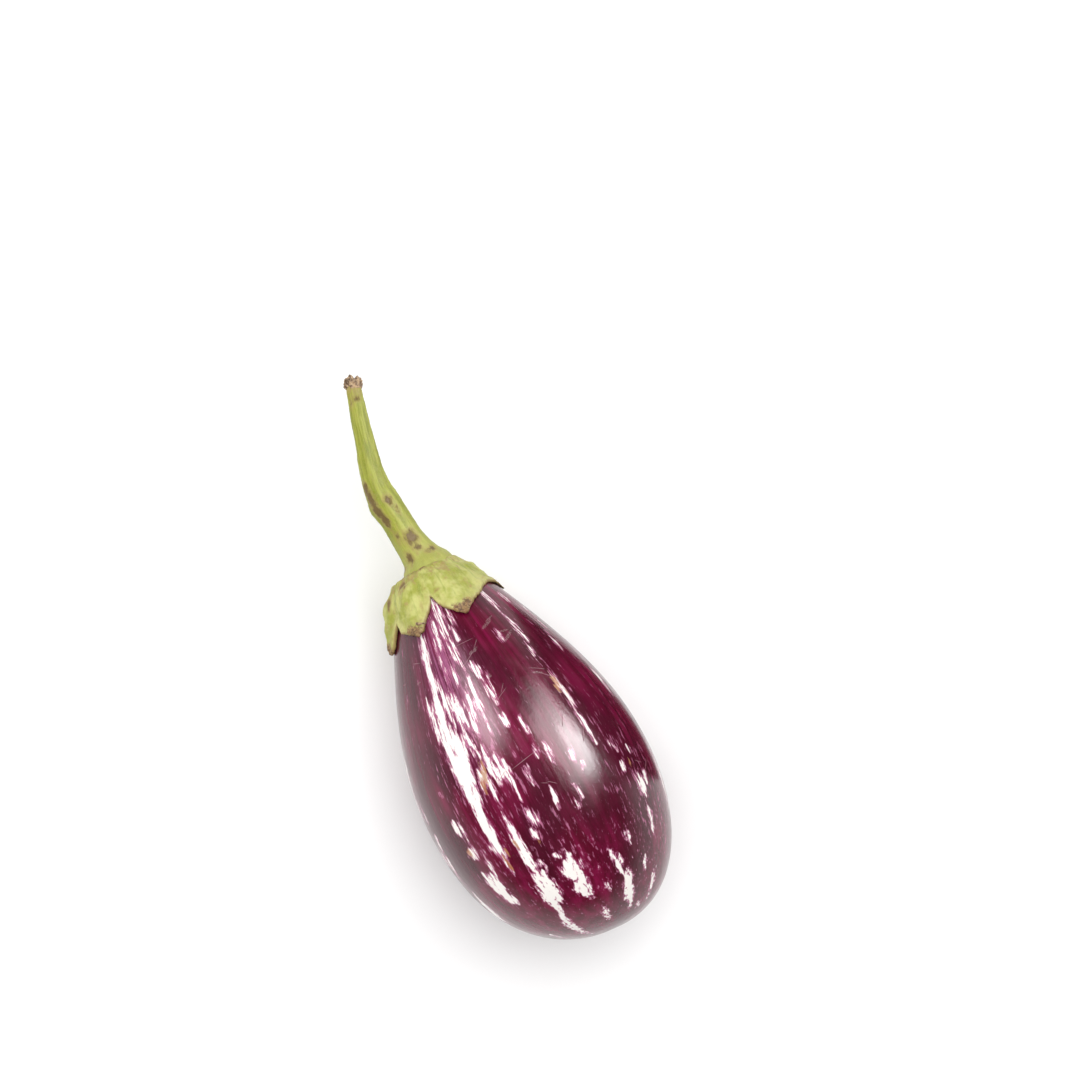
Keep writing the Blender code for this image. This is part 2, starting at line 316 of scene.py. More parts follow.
def waves(seed, count, low, high):
    """Random wave vectors, phases and weights for a smooth noise, the same on each run."""
    rng = np.random.default_rng(seed)
    pitch = rng.uniform(low, high, count)
    way = unit(rng.normal(size=(count, 3)))
    return way * (math.tau / pitch)[:, None], rng.uniform(0.0, math.tau, count)


def ripple(points, seed, count, low, high):
    """A smooth random field of about -1 to 1, with waves from low to high millimetres long."""
    vectors, phases = waves(seed, count, low, high)
    total = np.zeros(points.shape[:-1])
    for vector, phase in zip(vectors, phases):
        total += np.sin(points @ vector + phase)
    return total / math.sqrt(count)


def ring_grid(rings, columns):
    """Two grids: a value for each ring, and the angle of each point around it."""
    return np.meshgrid(rings, np.linspace(0.0, math.tau, columns, endpoint=False), indexing="ij")


def with_middles(rings):
    """Rings as one list of points, then the middles of the first and the last."""
    middles = np.stack((rings[0].mean(axis=0), rings[-1].mean(axis=0)))
    return np.concatenate((rings.reshape(-1, 3), middles))


def grid_faces(rows, columns, closed_rows=False):
    """Quads of a grid that closes around its columns, and around its rows if asked."""
    row = np.arange(rows if closed_rows else rows - 1)
    column = np.arange(columns)
    first, second = np.meshgrid(row, column, indexing="ij")
    after = (first + 1) % rows
    right = (second + 1) % columns
    quads = np.stack((first * columns + second, first * columns + right,
                      after * columns + right, after * columns + second), axis=-1)
    return quads.reshape(-1, 4)


def fan_faces(start, columns, centre, flip):
    """Triangles from one ring of a grid to a centre point."""
    column = np.arange(columns)
    right = (column + 1) % columns
    ring = (right, column) if flip else (column, right)
    return np.stack((start + ring[0], start + ring[1], np.full(columns, centre)), axis=-1)


def add_to_scene(name, data):
    """An object made from its data and put in the scene."""
    added = bpy.data.objects.new(name, data)
    bpy.context.scene.collection.objects.link(added)
    return added


def make_mesh(name, points, quads, triangles=None):
    """A smooth shaded object from arrays of points and faces."""
    mesh = bpy.data.meshes.new(name)
    faces = quads.tolist()
    if triangles is not None:
        faces += triangles.tolist()
    mesh.from_pydata(points.tolist(), [], faces)
    mesh.shade_smooth()
    mesh.validate()
    return add_to_scene(name, mesh)


def make_tube(name, points, rows, columns):
    """A piece from rings of points, and two last points that close its first and last ring."""
    count = rows * columns
    fans = np.concatenate((fan_faces(0, columns, count, True),
                           fan_faces(count - columns, columns, count + 1, False)))
    return make_mesh(name, points, grid_faces(rows, columns), fans)


def add_values(piece, name, values, ends=()):
    """A number for each point, and for the end points if any, that the material reads by name."""
    layer = piece.data.attributes.new(name, "FLOAT", "POINT")
    layer.data.foreach_set("value", np.append(values, ends).astype(np.float32))


def add_vectors(piece, name, vectors, ends=()):
    """A vector for each point, and for the end points if any, that the material reads by name."""
    layer = piece.data.attributes.new(name, "FLOAT_VECTOR", "POINT")
    layer.data.foreach_set("vector", np.append(vectors, ends).astype(np.float32))


# ---- fruit

def even_rows(count):
    """u of each ring of the fruit, spaced evenly along its outline."""
    t = np.linspace(0.0, math.pi, 4000)
    middle = 0.5 * (NECK_TOP - BLOSSOM_LENGTH)
    half = 0.5 * (NECK_TOP + BLOSSOM_LENGTH)
    u = middle - half * np.cos(t)
    radius = fruit_radius(u)
    length = np.concatenate(([0.0], np.cumsum(np.hypot(np.diff(u), np.diff(radius)))))
    return np.interp(np.linspace(0.0, length[-1], count + 2)[1:-1], length, u)


def unevenness(u, angle):
    """How far the skin stands from a perfect turned shape."""
    neck = smooth(10.0, 50.0, u)
    ribs = 0.22 * neck * np.cos(5.0 * angle + 0.6)
    swell = 0.16 * np.cos(2.0 * angle + 0.8) + 0.12 * np.cos(3.0 * angle - 0.04 * u)
    return ribs + swell + 0.10 * np.sin(0.09 * u + 1.3 * np.sin(angle) + 0.7)


def streak_list():
    """The streaks that are listed, then random ones for the side that lies down."""
    streaks = list(STREAKS)
    rng = np.random.default_rng(SEED)
    for _ in range(HIDDEN_STREAKS):
        angle = rng.uniform(90.0, 272.0)
        start = rng.uniform(2.0, 80.0)
        bold = rng.random() < 0.3
        length = rng.uniform(8.0, 34.0) if bold else rng.uniform(3.0, 14.0)
        width = rng.uniform(0.9, 1.8) if bold else rng.uniform(0.35, 0.8)
        drift = rng.uniform(-2.0, 2.0)
        streaks.append((angle, start, angle + drift, min(start + length, 94.0), width))
    return streaks


def streak_field(s, angle, radius):
    """1 inside a streak, 0 clear of it, and a slope between that the material breaks up."""
    degrees = np.degrees(angle)
    field = np.zeros(s.shape)
    for first_angle, first, last_angle, last, width in streak_list():
        part = (s - first) / (last - first)
        near = (part > 0.0) & (part < 1.0)
        part = part[near]
        centre = first_angle + (last_angle - first_angle) * part
        away = np.abs(np.radians(angle_apart(degrees[near], centre))) * radius[near]
        reach = width * (2.0 * np.sin(math.pi * part) ** 0.4 - 1.0)
        value = np.clip(0.5 + (reach - away) / FRINGE, 0.0, 1.0)
        field[near] = np.maximum(field[near], value)
    return field


def fleck_field(s, angle):
    """How many loose flecks the skin has, from 0 to 1."""
    field = np.full(s.shape, 0.35)
    for centre, along, half_angle, half_length, amount in FLECK_ZONES:
        off = angle_apart(np.degrees(angle), centre)
        field += amount * np.exp(-(off / half_angle) ** 2 - ((s - along) / half_length) ** 2)
    return np.clip(field, 0.0, 1.0)


def scar_field(s, angle, radius):
    """1 in the middle of a rusty scar, 0 away from it."""
    field = np.zeros(s.shape)
    for centre, along, half_length, half_width in SCARS:
        off = angle_apart(np.degrees(angle), centre)
        sideways = np.radians(off) * radius / half_width
        field = np.maximum(field, 1.0 - np.hypot(sideways, (s - along) / half_length) * 0.6)
    return np.clip(field, 0.0, 1.0)


def add_skin_values(fruit, s, turn, radius):
    """What the skin's material reads at each point, with plain values at the two end points."""
    bare = (0.0, 0.0)
    add_values(fruit, "streak", streak_field(s, turn, radius), bare)
    add_values(fruit, "scar", scar_field(s, turn, radius), bare)
    add_values(fruit, "fleck", fleck_field(s, turn), bare)
    pale = bell(np.degrees(turn), -17.0, 15.0) * np.exp(-((s - 76.0) / 19.0) ** 2)
    add_values(fruit, "pale", pale, bare)
    below = s < BLOSSOM_LENGTH
    add_values(fruit, "from_tip", np.where(below, radius, FRUIT_RADIUS), (0.0, FRUIT_RADIUS))
    spread = FRUIT_RADIUS * np.where(below, (radius / FRUIT_RADIUS) ** 0.8, 1.0)
    tips = ((0.0, 0.0, 0.0), (0.0, 0.0, BLOSSOM_LENGTH + NECK_TOP))
    grain = np.stack((spread * np.cos(turn), spread * np.sin(turn), s), axis=-1)
    add_vectors(fruit, "grain", grain, tips)
    signed = (turn + math.pi) % math.tau - math.pi
    flat = np.stack((s, signed * np.maximum(radius, 1.0), 0.0 * s), axis=-1)
    add_vectors(fruit, "place", flat, tips)


def make_fruit():
    """The whole skin: an even grid, a few faint lumps, and a small flat to lie on."""
    u, angle = ring_grid(even_rows(FRUIT_ROWS), FRUIT_COLUMNS)
    radius = fruit_radius(u)
    fade = np.clip(radius / FRUIT_RADIUS, 0.0, 1.0)
    dip = END_DIP * np.exp(-(radius / 2.0) ** 2) * (u < 0.0)
    points = local_points(u + dip, radius + fade * unevenness(u, angle), angle)
    ends = np.array([[BLOSSOM_LENGTH - END_DIP, 0.0, 0.0], [-NECK_TOP, 0.0, 0.0]])
    world = to_world(np.concatenate((points.reshape(-1, 3), ends)))
    world[:, 2] = np.maximum(world[:, 2], 0.0)
    fruit = make_tube("fruit_skin", world, FRUIT_ROWS, FRUIT_COLUMNS)
    add_skin_values(fruit, (u + BLOSSOM_LENGTH).ravel(), angle.ravel(), radius.ravel())
    return fruit


def wrapped(angle, radius, length):
    """Points on a plain tube, so that noise doesn't tear at any angle."""
    return np.stack((radius * np.cos(angle), radius * np.sin(angle), length), axis=-1)


def spot_field(spots, length, degrees, radius):
    """1 in the middle of a spot and 0 away from it: length, angle, half length, half width, strength."""
    field = np.zeros(length.shape)
    for along, centre, half_length, half_width, strength in spots:
        sideways = np.radians(angle_apart(degrees, centre)) * radius / half_width
        spot = strength * (1.25 - np.hypot(sideways, (length - along) / half_length))
        field = np.maximum(field, np.clip(spot, 0.0, 1.0))
    return field


# ---- green cap

def neck_path():
    """The neck's outline from the middle of its top down the flank: length, u and radius."""
    sweep = np.linspace(0.0, 1.0, 1200) ** 2
    u = NECK_TOP - sweep * NECK_TOP
    radius = fruit_radius(u)
    steps = np.hypot(np.diff(u), np.diff(radius))
    return np.concatenate(([0.0], np.cumsum(steps))), u, radius


PATH_LENGTH, PATH_U, PATH_RADIUS = neck_path()
SLOPE_U = np.gradient(PATH_U, PATH_LENGTH)
SLOPE_RADIUS = np.gradient(PATH_RADIUS, PATH_LENGTH)


def cap_edge(degrees):
    """Length along the neck's outline to the cap's edge, at each angle."""
    angles = np.array([point[0] for point in CAP_OUTLINE])
    reach = np.array([point[1] for point in CAP_OUTLINE]) - BLOSSOM_LENGTH
    angles = np.concatenate((angles - 360.0, angles, angles + 360.0))
    reach = np.tile(reach, 3)
    spread = (-1.0, -0.5, 0.0, 0.5, 1.0)
    u = sum(np.interp(degrees + step, angles, reach) for step in spread) / len(spread)
    turn = np.radians(degrees)
    ring = np.stack((CAP_EDGE_RADIUS * np.cos(turn), CAP_EDGE_RADIUS * np.sin(turn), 0.0 * turn), axis=-1)
    u = u + 0.10 * ripple(ring, 31, 8, 0.9, 3.0) + 0.06 * ripple(ring, 32, 8, 0.5, 1.0)
    return np.interp(-u, -PATH_U, PATH_LENGTH)


def bell(degrees, centre, half):
    """1 at an angle, falling off smoothly to either side."""
    return np.exp(-(angle_apart(degrees, centre) / half) ** 2)


def cap_height(part, degrees, length):
    """How far the cap's outer face stands off the fruit."""
    thin = CAP_THICKNESS * (1.0 - 0.45 * smooth(0.35, 0.95, part))
    edge = smooth(1.0, 0.93, part) * (thin - CAP_RIM) + CAP_RIM
    ribs = sum(bell(degrees, centre, 11.0) for centre, _, _ in LOBE_TIPS)
    valleys = sum(bell(degrees, centre, 9.0) for centre in LOBE_VALLEYS)
    body = smooth(0.3, 0.55, part) * smooth(1.0, 0.8, part)
    right = bell(degrees, 82.0, 45.0)
    shoulder = (0.55 - 1.0 * right) * np.exp(-((length - 11.5) / 3.2) ** 2)
    edge = edge - 0.5 * right * smooth(0.2, 0.5, part) * smooth(1.0, 0.8, part)
    crown = smooth(9.0, 5.0, length)
    fold = 0.65 * np.exp(-((length - 8.0) / 1.0) ** 2)
    slim = 1.0 - 0.62 * bell(degrees, 97.0, 27.0) * smooth(0.30, 0.70, part)
    return slim * (edge + body * (0.60 * ribs - 0.45 * valleys) + shoulder) + 0.3 * crown + fold


def cap_curl(part, degrees):
    """How far the dried lobe tips curl away from the fruit."""
    lift = sum(curl * bell(degrees, centre, half) for centre, half, curl in LOBE_TIPS)
    return 1.1 * lift * smooth(0.84, 1.0, part) ** 1.5 + 0.12 * smooth(0.8, 1.0, part)


def neck_points(length, height, angle):
    """Points on the neck's outline at a length along it, standing off by a height."""
    u = np.interp(length, PATH_LENGTH, PATH_U) + height * np.interp(length, PATH_LENGTH, SLOPE_RADIUS)
    radius = np.interp(length, PATH_LENGTH, PATH_RADIUS)
    radius = radius - height * np.interp(length, PATH_LENGTH, SLOPE_U)
    return local_points(u, radius, angle)


def make_thorn():
    """The little dried hook that stands off one lobe."""
    rows, columns = THORN_GRID
    t, turn = ring_grid(np.linspace(0.0, 1.0, rows), columns)
    length = np.interp(-(THORN_START[1] + (THORN_END[1] - THORN_START[1]) * t - BLOSSOM_LENGTH),
                       -PATH_U, PATH_LENGTH)
    angle = np.radians(THORN_START[0] + (THORN_END[0] - THORN_START[0]) * t)
    size = THORN_RADIUS * (1.0 - 0.85 * t)
    height = THORN_STAND + THORN_RISE * np.sin(0.5 * math.pi * t) + size * np.cos(turn)
    points = neck_points(length + size * np.sin(turn), height, angle)
    return make_tube("cap_thorn", to_world(with_middles(points)), rows, columns)


def make_cap():
    """The lobed cap: outer face, thin rim and inner face as one closed ring of rows."""
    outer = np.linspace(0.0, 1.0, CAP_ROWS) ** 0.85
    inner = np.linspace(1.0, 0.0, CAP_ROWS // 2)
    part, angle = ring_grid(np.concatenate((outer, inner)), CAP_COLUMNS)
    edge = cap_edge(np.degrees(angle[0]))
    length = CAP_INNER_START + part * (edge[None, :] - CAP_INNER_START)
    spread = np.degrees(angle)
    is_outer = (np.arange(part.shape[0]) < CAP_ROWS)[:, None]
    curl = cap_curl(part, spread)
    top = cap_height(part, spread, length) + curl + CAP_GAP
    under = CAP_GAP + curl * 0.92
    height = np.where(is_outer, top, np.minimum(under, top - 0.05))
    points = neck_points(length, height, angle)
    wrinkle = 0.17 * ripple(points, 41, 14, 1.8, 5.0) + 0.05 * ripple(points, 42, 14, 0.6, 1.4)
    dried = smooth(0.86, 1.0, part) * np.clip(curl, 0.0, 1.0)
    crumple = 0.42 * dried * ripple(points, 43, 14, 0.8, 2.0)
    height = height + np.where(is_outer, wrinkle * smooth(0.0, 0.2, part) + crumple, 0.7 * crumple)
    height = np.where(is_outer, np.maximum(height, under + 0.2), np.maximum(height, CAP_GAP))
    points = neck_points(length, height, angle)
    rows = points.shape[0]
    quads = grid_faces(rows, CAP_COLUMNS, closed_rows=True)[:, ::-1]
    cap = make_mesh("green_cap", to_world(points.reshape(-1, 3)), quads)
    add_values(cap, "edge", part)
    add_values(cap, "dried", smooth(0.76, 0.98, part) * np.clip(sum(
        bell(spread, centre, half) for centre, half, _ in LOBE_TIPS), 0.0, 1.0))
    add_values(cap, "mark", spot_field(CAP_MARKS, length, spread, CAP_MARK_RADIUS))
    add_vectors(cap, "grain", wrapped(angle, CAP_GRAIN_RADIUS, length))
    return cap


# ---- stalk

def stem_curve(count):
    """Centre line and radius of the stalk at even steps, smoothly through its route."""
    route = np.array(STEM_ROUTE)
    centre = np.stack((-route[:, 0], route[:, 1], route[:, 2]), axis=-1)
    steps = np.linalg.norm(np.diff(centre, axis=0), axis=1)
    length = np.concatenate(([0.0], np.cumsum(steps)))
    at = np.linspace(0.0, length[-1], count)
    values = np.column_stack((centre, route[:, 3]))
    slope = np.gradient(values, length, axis=0)
    index = np.clip(np.searchsorted(length, at, side="right") - 1, 0, len(length) - 2)
    span = (length[index + 1] - length[index])[:, None]
    t = (at - length[index])[:, None] / span
    leaving = (t ** 3 - 2 * t ** 2 + t) * span * slope[index]
    arriving = (t ** 3 - t ** 2) * span * slope[index + 1]
    start = (2 * t ** 3 - 3 * t ** 2 + 1) * values[index]
    smoothed = start + leaving + (3 * t ** 2 - 2 * t ** 3) * values[index + 1] + arriving
    return at, smoothed[:, :3], smoothed[:, 3]


def stem_rings():
    """The stalk's points: rings round its centre line, with soft ridges and the knuckle."""
    at, centre, radius = stem_curve(STEM_ROWS)
    right, up = across(unit(np.gradient(centre, at, axis=0)))
    along, angle = ring_grid(at, STEM_COLUMNS)
    size = np.broadcast_to(radius[:, None], along.shape)
    ridges = 0.028 * np.cos(5.0 * angle + 0.3) + 0.012 * np.cos(9.0 * angle + 0.05 * along)
    knuckle = 0.05 * np.exp(-((along - KNUCKLE_AT) / KNUCKLE_REACH) ** 2) * (1.0 + np.cos(angle + 1.3))
    size = size * (1.0 + ridges * smooth(1.0, 6.0, along) + knuckle)
    out = right[:, None, :] * np.sin(angle)[..., None] + up[:, None, :] * np.cos(angle)[..., None]
    points = centre[:, None, :] + out * size[..., None]
    rough = 0.045 * ripple(points, 51, 14, 2.0, 7.0) + 0.03 * ripple(points, 52, 16, 0.6, 1.6)
    return along, angle, size, points + out * rough[..., None]


def make_stalk():
    """The stalk from the cap's crown to just under its dried end."""
    along, angle, size, points = stem_rings()
    stalk = make_tube("green_stalk", to_world(with_middles(points)), STEM_ROWS, STEM_COLUMNS)
    bare = (0.0, 0.0)
    add_values(stalk, "mark", spot_field(STEM_MARKS, along, np.degrees(angle), size), bare)
    # 0 on the stalk's top and 1 underneath, read by the material for its painted shade.
    add_values(stalk, "side", 0.5 - 0.5 * np.cos(angle), bare)
    add_values(stalk, "along", along, bare)
    add_vectors(stalk, "grain", wrapped(angle, STEM_GRAIN_RADIUS, along), np.zeros((2, 3)))
    return stalk


def make_dried_end():
    """The shrivelled brown end of the stalk: a crumpled cup with a torn rim."""
    rows, columns = DRIED_GRID
    _, centre, _ = stem_curve(STEM_ROWS)
    forward = unit(centre[-1] - centre[-8])
    right, up = across(forward)
    t, angle = ring_grid(np.linspace(0.0, 1.0, rows), columns)
    outside = smooth(0.0, 0.62, t)
    inside = smooth(0.62, 1.0, t)
    flare = DRIED_FLARE * np.sin(math.pi * np.clip(t / 0.75, 0.0, 1.0)) ** 0.8
    radius = np.maximum(DRIED_RADIUS + flare - 1.9 * inside, 0.05)
    torn = 0.45 * np.sin(3.0 * angle + 0.8) + 0.3 * np.sin(7.0 * angle + 2.0)
    height = -DRIED_ROOT + DRIED_LENGTH * outside - DRIED_HOLLOW * inside
    height = height + torn * smooth(0.25, 0.62, t) * smooth(1.0, 0.75, t)
    out = right * np.sin(angle)[..., None] + up * np.cos(angle)[..., None]
    points = centre[-1] + out * radius[..., None] + forward * height[..., None]
    crumple = 0.34 * ripple(points, 61, 12, 1.4, 3.0) + 0.15 * ripple(points, 62, 14, 0.45, 0.9)
    points = points + out * (crumple * smooth(0.0, 0.2, t))[..., None]
    points = points + forward * (0.6 * crumple)[..., None]
    end = make_tube("dried_end", to_world(with_middles(points)), rows, columns)
    # How far into the hollow a point lies, for the material's painted shade there.
    add_values(end, "depth", inside, (0.0, 1.0))
    return end


# ---- materials

class Nodes:
    """Short names for the node calls that the materials repeat."""

    def __init__(self, name):
        self.material = bpy.data.materials.new(name)
        self.material.use_nodes = True
        self.tree = self.material.node_tree
        self.shader = self.tree.nodes["Principled BSDF"]

    def link(self, source, target):
        self.tree.links.new(source, target)

    def add(self, kind, **settings):
        node = self.tree.nodes.new(kind)
        for key, value in settings.items():
            setattr(node, key, value)
        return node

    def attribute(self, name):
        return self.add("ShaderNodeAttribute", attribute_name=name)

    def value(self, name):
        return self.attribute(name).outputs["Fac"]

    def vector(self, name):
        return self.attribute(name).outputs["Vector"]

    def space(self):
        """The piece's own space, in metres."""
        return self.add("ShaderNodeTexCoord").outputs["Object"]

    def fill(self, node, **values):
        """Sets sockets of a node, each named with _ for a space."""
        for name, value in values.items():
            node.inputs[name.replace("_", " ")].default_value = value

    def fix(self, **values):
        """Sets the shader's own values, the same all over the surface."""
        self.fill(self.shader, **values)

    def feed(self, name, source):
        """Links a source to one of the shader's inputs."""
        self.link(source, self.shader.inputs[name])

    def scaled(self, vector, axial, shift=(0.0, 0.0, 0.0)):
        """A space scaled along the axis, so that noise in it is drawn out, and then shifted."""
        node = self.add("ShaderNodeMapping")
        self.link(vector, node.inputs["Vector"])
        self.fill(node, Scale=(1.0, 1.0, axial), Location=shift)
        return node.outputs["Vector"]

    def noise(self, vector, scale, detail=3.0, roughness=0.55):
        node = self.add("ShaderNodeTexNoise")
        self.link(vector, node.inputs["Vector"])
        self.fill(node, Scale=scale, Detail=detail, Roughness=roughness)
        return node.outputs["Fac"]

    def cells(self, vector, scale):
        node = self.add("ShaderNodeTexVoronoi")
        self.link(vector, node.inputs["Vector"])
        self.fill(node, Scale=scale)
        return node.outputs["Distance"]

    def math(self, operation, first, second=None, third=None):
        node = self.add("ShaderNodeMath", operation=operation)
        for socket, item in zip(node.inputs, (first, second, third)):
            if item is not None:
                self.link_or_set(item, socket)
        return node.outputs["Value"]

    def ramp(self, value, low, high, start=0.0, end=1.0):
        node = self.add("ShaderNodeMapRange", interpolation_type="SMOOTHSTEP")
        self.link(value, node.inputs["Value"])
        self.fill(node, From_Min=low, From_Max=high, To_Min=start, To_Max=end)
        return node.outputs["Result"]

    def mix(self, factor, first, second):
        node = self.add("ShaderNodeMix", data_type="RGBA")
        self.link_or_set(factor, node.inputs["Factor"])
        colors = [socket for socket in node.inputs if socket.type == "RGBA"]
        self.link_or_set(first, colors[0])
        self.link_or_set(second, colors[1])
        return [socket for socket in node.outputs if socket.type == "RGBA"][0]

    def paint(self, color, mask, amount, over):
        """A colour with another laid over it, by a share of a mask."""
        return self.mix(self.math("MULTIPLY", mask, amount), color, over)

    def link_or_set(self, item, socket):
        if isinstance(item, (int, float)):
            socket.default_value = item
        elif isinstance(item, tuple):
            socket.default_value = (*item, 1.0)
        else:
            self.link(item, socket)

    def bump(self, height, distance, strength=1.0, normal=None):
        node = self.add("ShaderNodeBump")
        self.link(height, node.inputs["Height"])
        self.fill(node, Distance=distance, Strength=strength)
        if normal is not None:
            self.link(normal, node.inputs["Normal"])
        return node.outputs["Normal"]

    def spot(self, vector, centre, half_size, turn):
        """1 inside a turned ellipse, 0 outside it."""
        node = self.add("ShaderNodeMapping", vector_type="TEXTURE")
        self.link(vector, node.inputs["Vector"])
        self.fill(node, Location=(*centre, 0.0), Rotation=(0.0, 0.0, turn), Scale=(*half_size, 1.0))
        size = self.add("ShaderNodeVectorMath", operation="LENGTH")
        self.link(node.outputs["Vector"], size.inputs[0])
        return self.ramp(size.outputs["Value"], 1.0, 0.5)


BURGUNDY = (0.088, 0.0012, 0.014)
DEEP = (0.045, 0.0025, 0.010)
MAGENTA = (0.185, 0.005, 0.044)
ROSE = (0.52, 0.165, 0.30)
LILAC = (0.42, 0.12, 0.26)
CREAM = (0.88, 0.84, 0.80)
RUST = (0.42, 0.17, 0.06)


def marks_mask(nodes, space, marks):
    """All of a list of marks as one mask."""
    total = None
    for degrees, s, half_length, half_width, turn in marks:
        reach = float(fruit_radius(s - BLOSSOM_LENGTH)) * math.radians(degrees)
        one = nodes.spot(space, (s, reach), (half_length, half_width), math.radians(turn))
        total = one if total is None else nodes.math("MAXIMUM", total, one)
    return total


def skin_ground(nodes, grain, long_grain):
    """Burgundy in soft bands, washed with lilac towards the cap, with loose rosy flecks."""
    longer_grain = nodes.scaled(grain, 0.06)
    bands = nodes.noise(longer_grain, 0.45, 4.0, 0.65)
    fine = nodes.noise(long_grain, 2.6, 3.0, 0.65)
    shade = nodes.noise(nodes.scaled(grain, 0.6, (1.0, 2.0, 3.0)), 0.07, 2.0)
    wash = nodes.ramp(nodes.noise(longer_grain, 1.1, 4.0, 0.65), 0.40, 0.66, 0.15, 0.75)
    flecks = nodes.noise(nodes.scaled(grain, 0.17, (31.0, 7.0, 5.0)), 1.3, 4.0, 0.66)
    flecks = nodes.math("MULTIPLY_ADD", nodes.value("fleck"), 0.13, flecks)
    ground = nodes.mix(nodes.ramp(bands, 0.36, 0.68), BURGUNDY, MAGENTA)
    ground = nodes.mix(nodes.ramp(shade, 0.62, 0.38, 0.0, 0.75), ground, DEEP)
    ground = nodes.mix(nodes.ramp(fine, 0.50, 0.74, 0.0, 0.20), ground, MAGENTA)
    ground = nodes.mix(nodes.math("MULTIPLY", nodes.value("pale"), wash), ground, LILAC)
    return nodes.paint(ground, nodes.ramp(flecks, 0.675, 0.80), 0.70, ROSE)


def skin_streaks(nodes, grain, long_grain, ground):
    """Pale streaks with rosy edges over the ground, made ragged by noise."""
    teeth = nodes.noise(long_grain, 1.5, 5.0, 0.68)
    breaks = nodes.noise(nodes.scaled(grain, 0.28, (9.0, 4.0, 2.0)), 0.55, 3.0, 0.6)
    ragged = nodes.math("MULTIPLY_ADD", teeth, 2.1, nodes.math("SUBTRACT", nodes.value("streak"), 1.05))
    ragged = nodes.math("MULTIPLY_ADD", breaks, 1.0, nodes.math("SUBTRACT", ragged, 0.5))
    color = nodes.paint(ground, nodes.ramp(ragged, 0.30, 0.56), 0.85, ROSE)
    return nodes.mix(nodes.ramp(ragged, 0.52, 0.66), color, CREAM)


def skin_rust(nodes, grain):
    """Mask of the rusty scars."""
    rust_noise = nodes.noise(nodes.scaled(grain, 0.35, (2.0, 6.0, 8.0)), 1.5, 3.0, 0.6)
    rust = nodes.math("ADD", nodes.value("scar"), nodes.math("MULTIPLY_ADD", rust_noise, 1.3, -0.65))
    return nodes.ramp(rust, 0.42, 0.72)


def skin_pores(nodes, grain):
    """Mask of the pores, which come in patches."""
    pores = nodes.ramp(nodes.cells(grain, 0.42), 0.075, 0.035)
    return nodes.math("MULTIPLY", pores, nodes.ramp(nodes.noise(grain, 0.13, 1.0), 0.50, 0.58))


def skin_gloss(nodes, grain, scuffs, rust, end):
    """Wax gloss, duller on marks."""
    wax = nodes.noise(nodes.scaled(grain, 0.7), 0.35, 4.0, 0.65)
    rough = nodes.ramp(wax, 0.30, 0.72, 0.14, 0.25)
    rough = nodes.math("MULTIPLY_ADD", scuffs, 0.22, rough)
    rough = nodes.math("MULTIPLY_ADD", rust, 0.22, rough)
    rough = nodes.math("MULTIPLY_ADD", end, 0.35, rough)
    nodes.feed("Roughness", rough)
    nodes.fix(IOR=1.47, Coat_Weight=0.10, Coat_Roughness=0.16, Subsurface_Weight=0.04)
    nodes.fix(Subsurface_Radius=(0.002, 0.0008, 0.0008))


def skin_material():
    """Glossy burgundy skin, with ragged pale streaks, rosy flecks, scars and scratches."""
    nodes = Nodes("eggplant_skin")
    grain = nodes.vector("grain")
    flat = nodes.vector("place")
    long_grain = nodes.scaled(grain, 0.16)
    rust = skin_rust(nodes, grain)
    pores = skin_pores(nodes, grain)
    patchy = nodes.ramp(nodes.noise(grain, 2.6, 4.0, 0.7), 0.36, 0.66)
    scuffs = nodes.math("MULTIPLY", marks_mask(nodes, flat, SCUFFS), patchy)
    scratches = marks_mask(nodes, flat, SCRATCHES)
    # The small dried scar at the blossom end.
    end_size = nodes.math("MULTIPLY_ADD", nodes.noise(grain, 1.4, 3.0), 1.6, nodes.value("from_tip"))
    end = nodes.ramp(end_size, 2.6, 2.0)
    end_color = nodes.mix(nodes.ramp(end_size, 1.9, 1.3), (0.26, 0.17, 0.09), (0.09, 0.05, 0.03))
    color = skin_ground(nodes, grain, long_grain)
    color = skin_streaks(nodes, grain, long_grain, color)
    color = nodes.paint(color, rust, 0.8, RUST)
    color = nodes.paint(color, pores, 0.6, (0.06, 0.02, 0.02))
    color = nodes.paint(color, scuffs, 0.30, (0.36, 0.25, 0.24))
    color = nodes.paint(color, scratches, 0.5, (0.42, 0.20, 0.24))
    nodes.feed("Base Color", nodes.mix(end, color, end_color))
    skin_gloss(nodes, grain, scuffs, rust, end)
    normal = nodes.bump(nodes.noise(grain, 1.6, 4.0, 0.7), 0.00012, 0.25)
    normal = nodes.bump(nodes.noise(long_grain, 0.25, 3.0), 0.0006, 0.22, normal)
    dents = nodes.math("ADD", nodes.math("MULTIPLY", scratches, -1.0), nodes.math("MULTIPLY", scuffs, -0.2))
    dents = nodes.math("MULTIPLY_ADD", pores, -0.4, dents)
    dents = nodes.math("MULTIPLY_ADD", rust, 0.4, dents)
    nodes.feed("Normal", nodes.bump(dents, 0.00012, 0.8, normal))
    return nodes.material


LEAF = (0.31, 0.33, 0.042)
LEAF_PALE = (0.50, 0.50, 0.155)
LEAF_GREEN = (0.17, 0.22, 0.016)
BROWN = (0.22, 0.115, 0.05)
DARK_BROWN = (0.075, 0.04, 0.02)
TAN = (0.34, 0.22, 0.09)
BLUSH = (0.36, 0.25, 0.09)


def leaf_body(nodes):
    """The soft, dull body that the cap and the stalk share."""
    nodes.fix(Subsurface_Weight=0.08, Subsurface_Radius=(0.0012, 0.0014, 0.0004), Specular_IOR_Level=0.3)


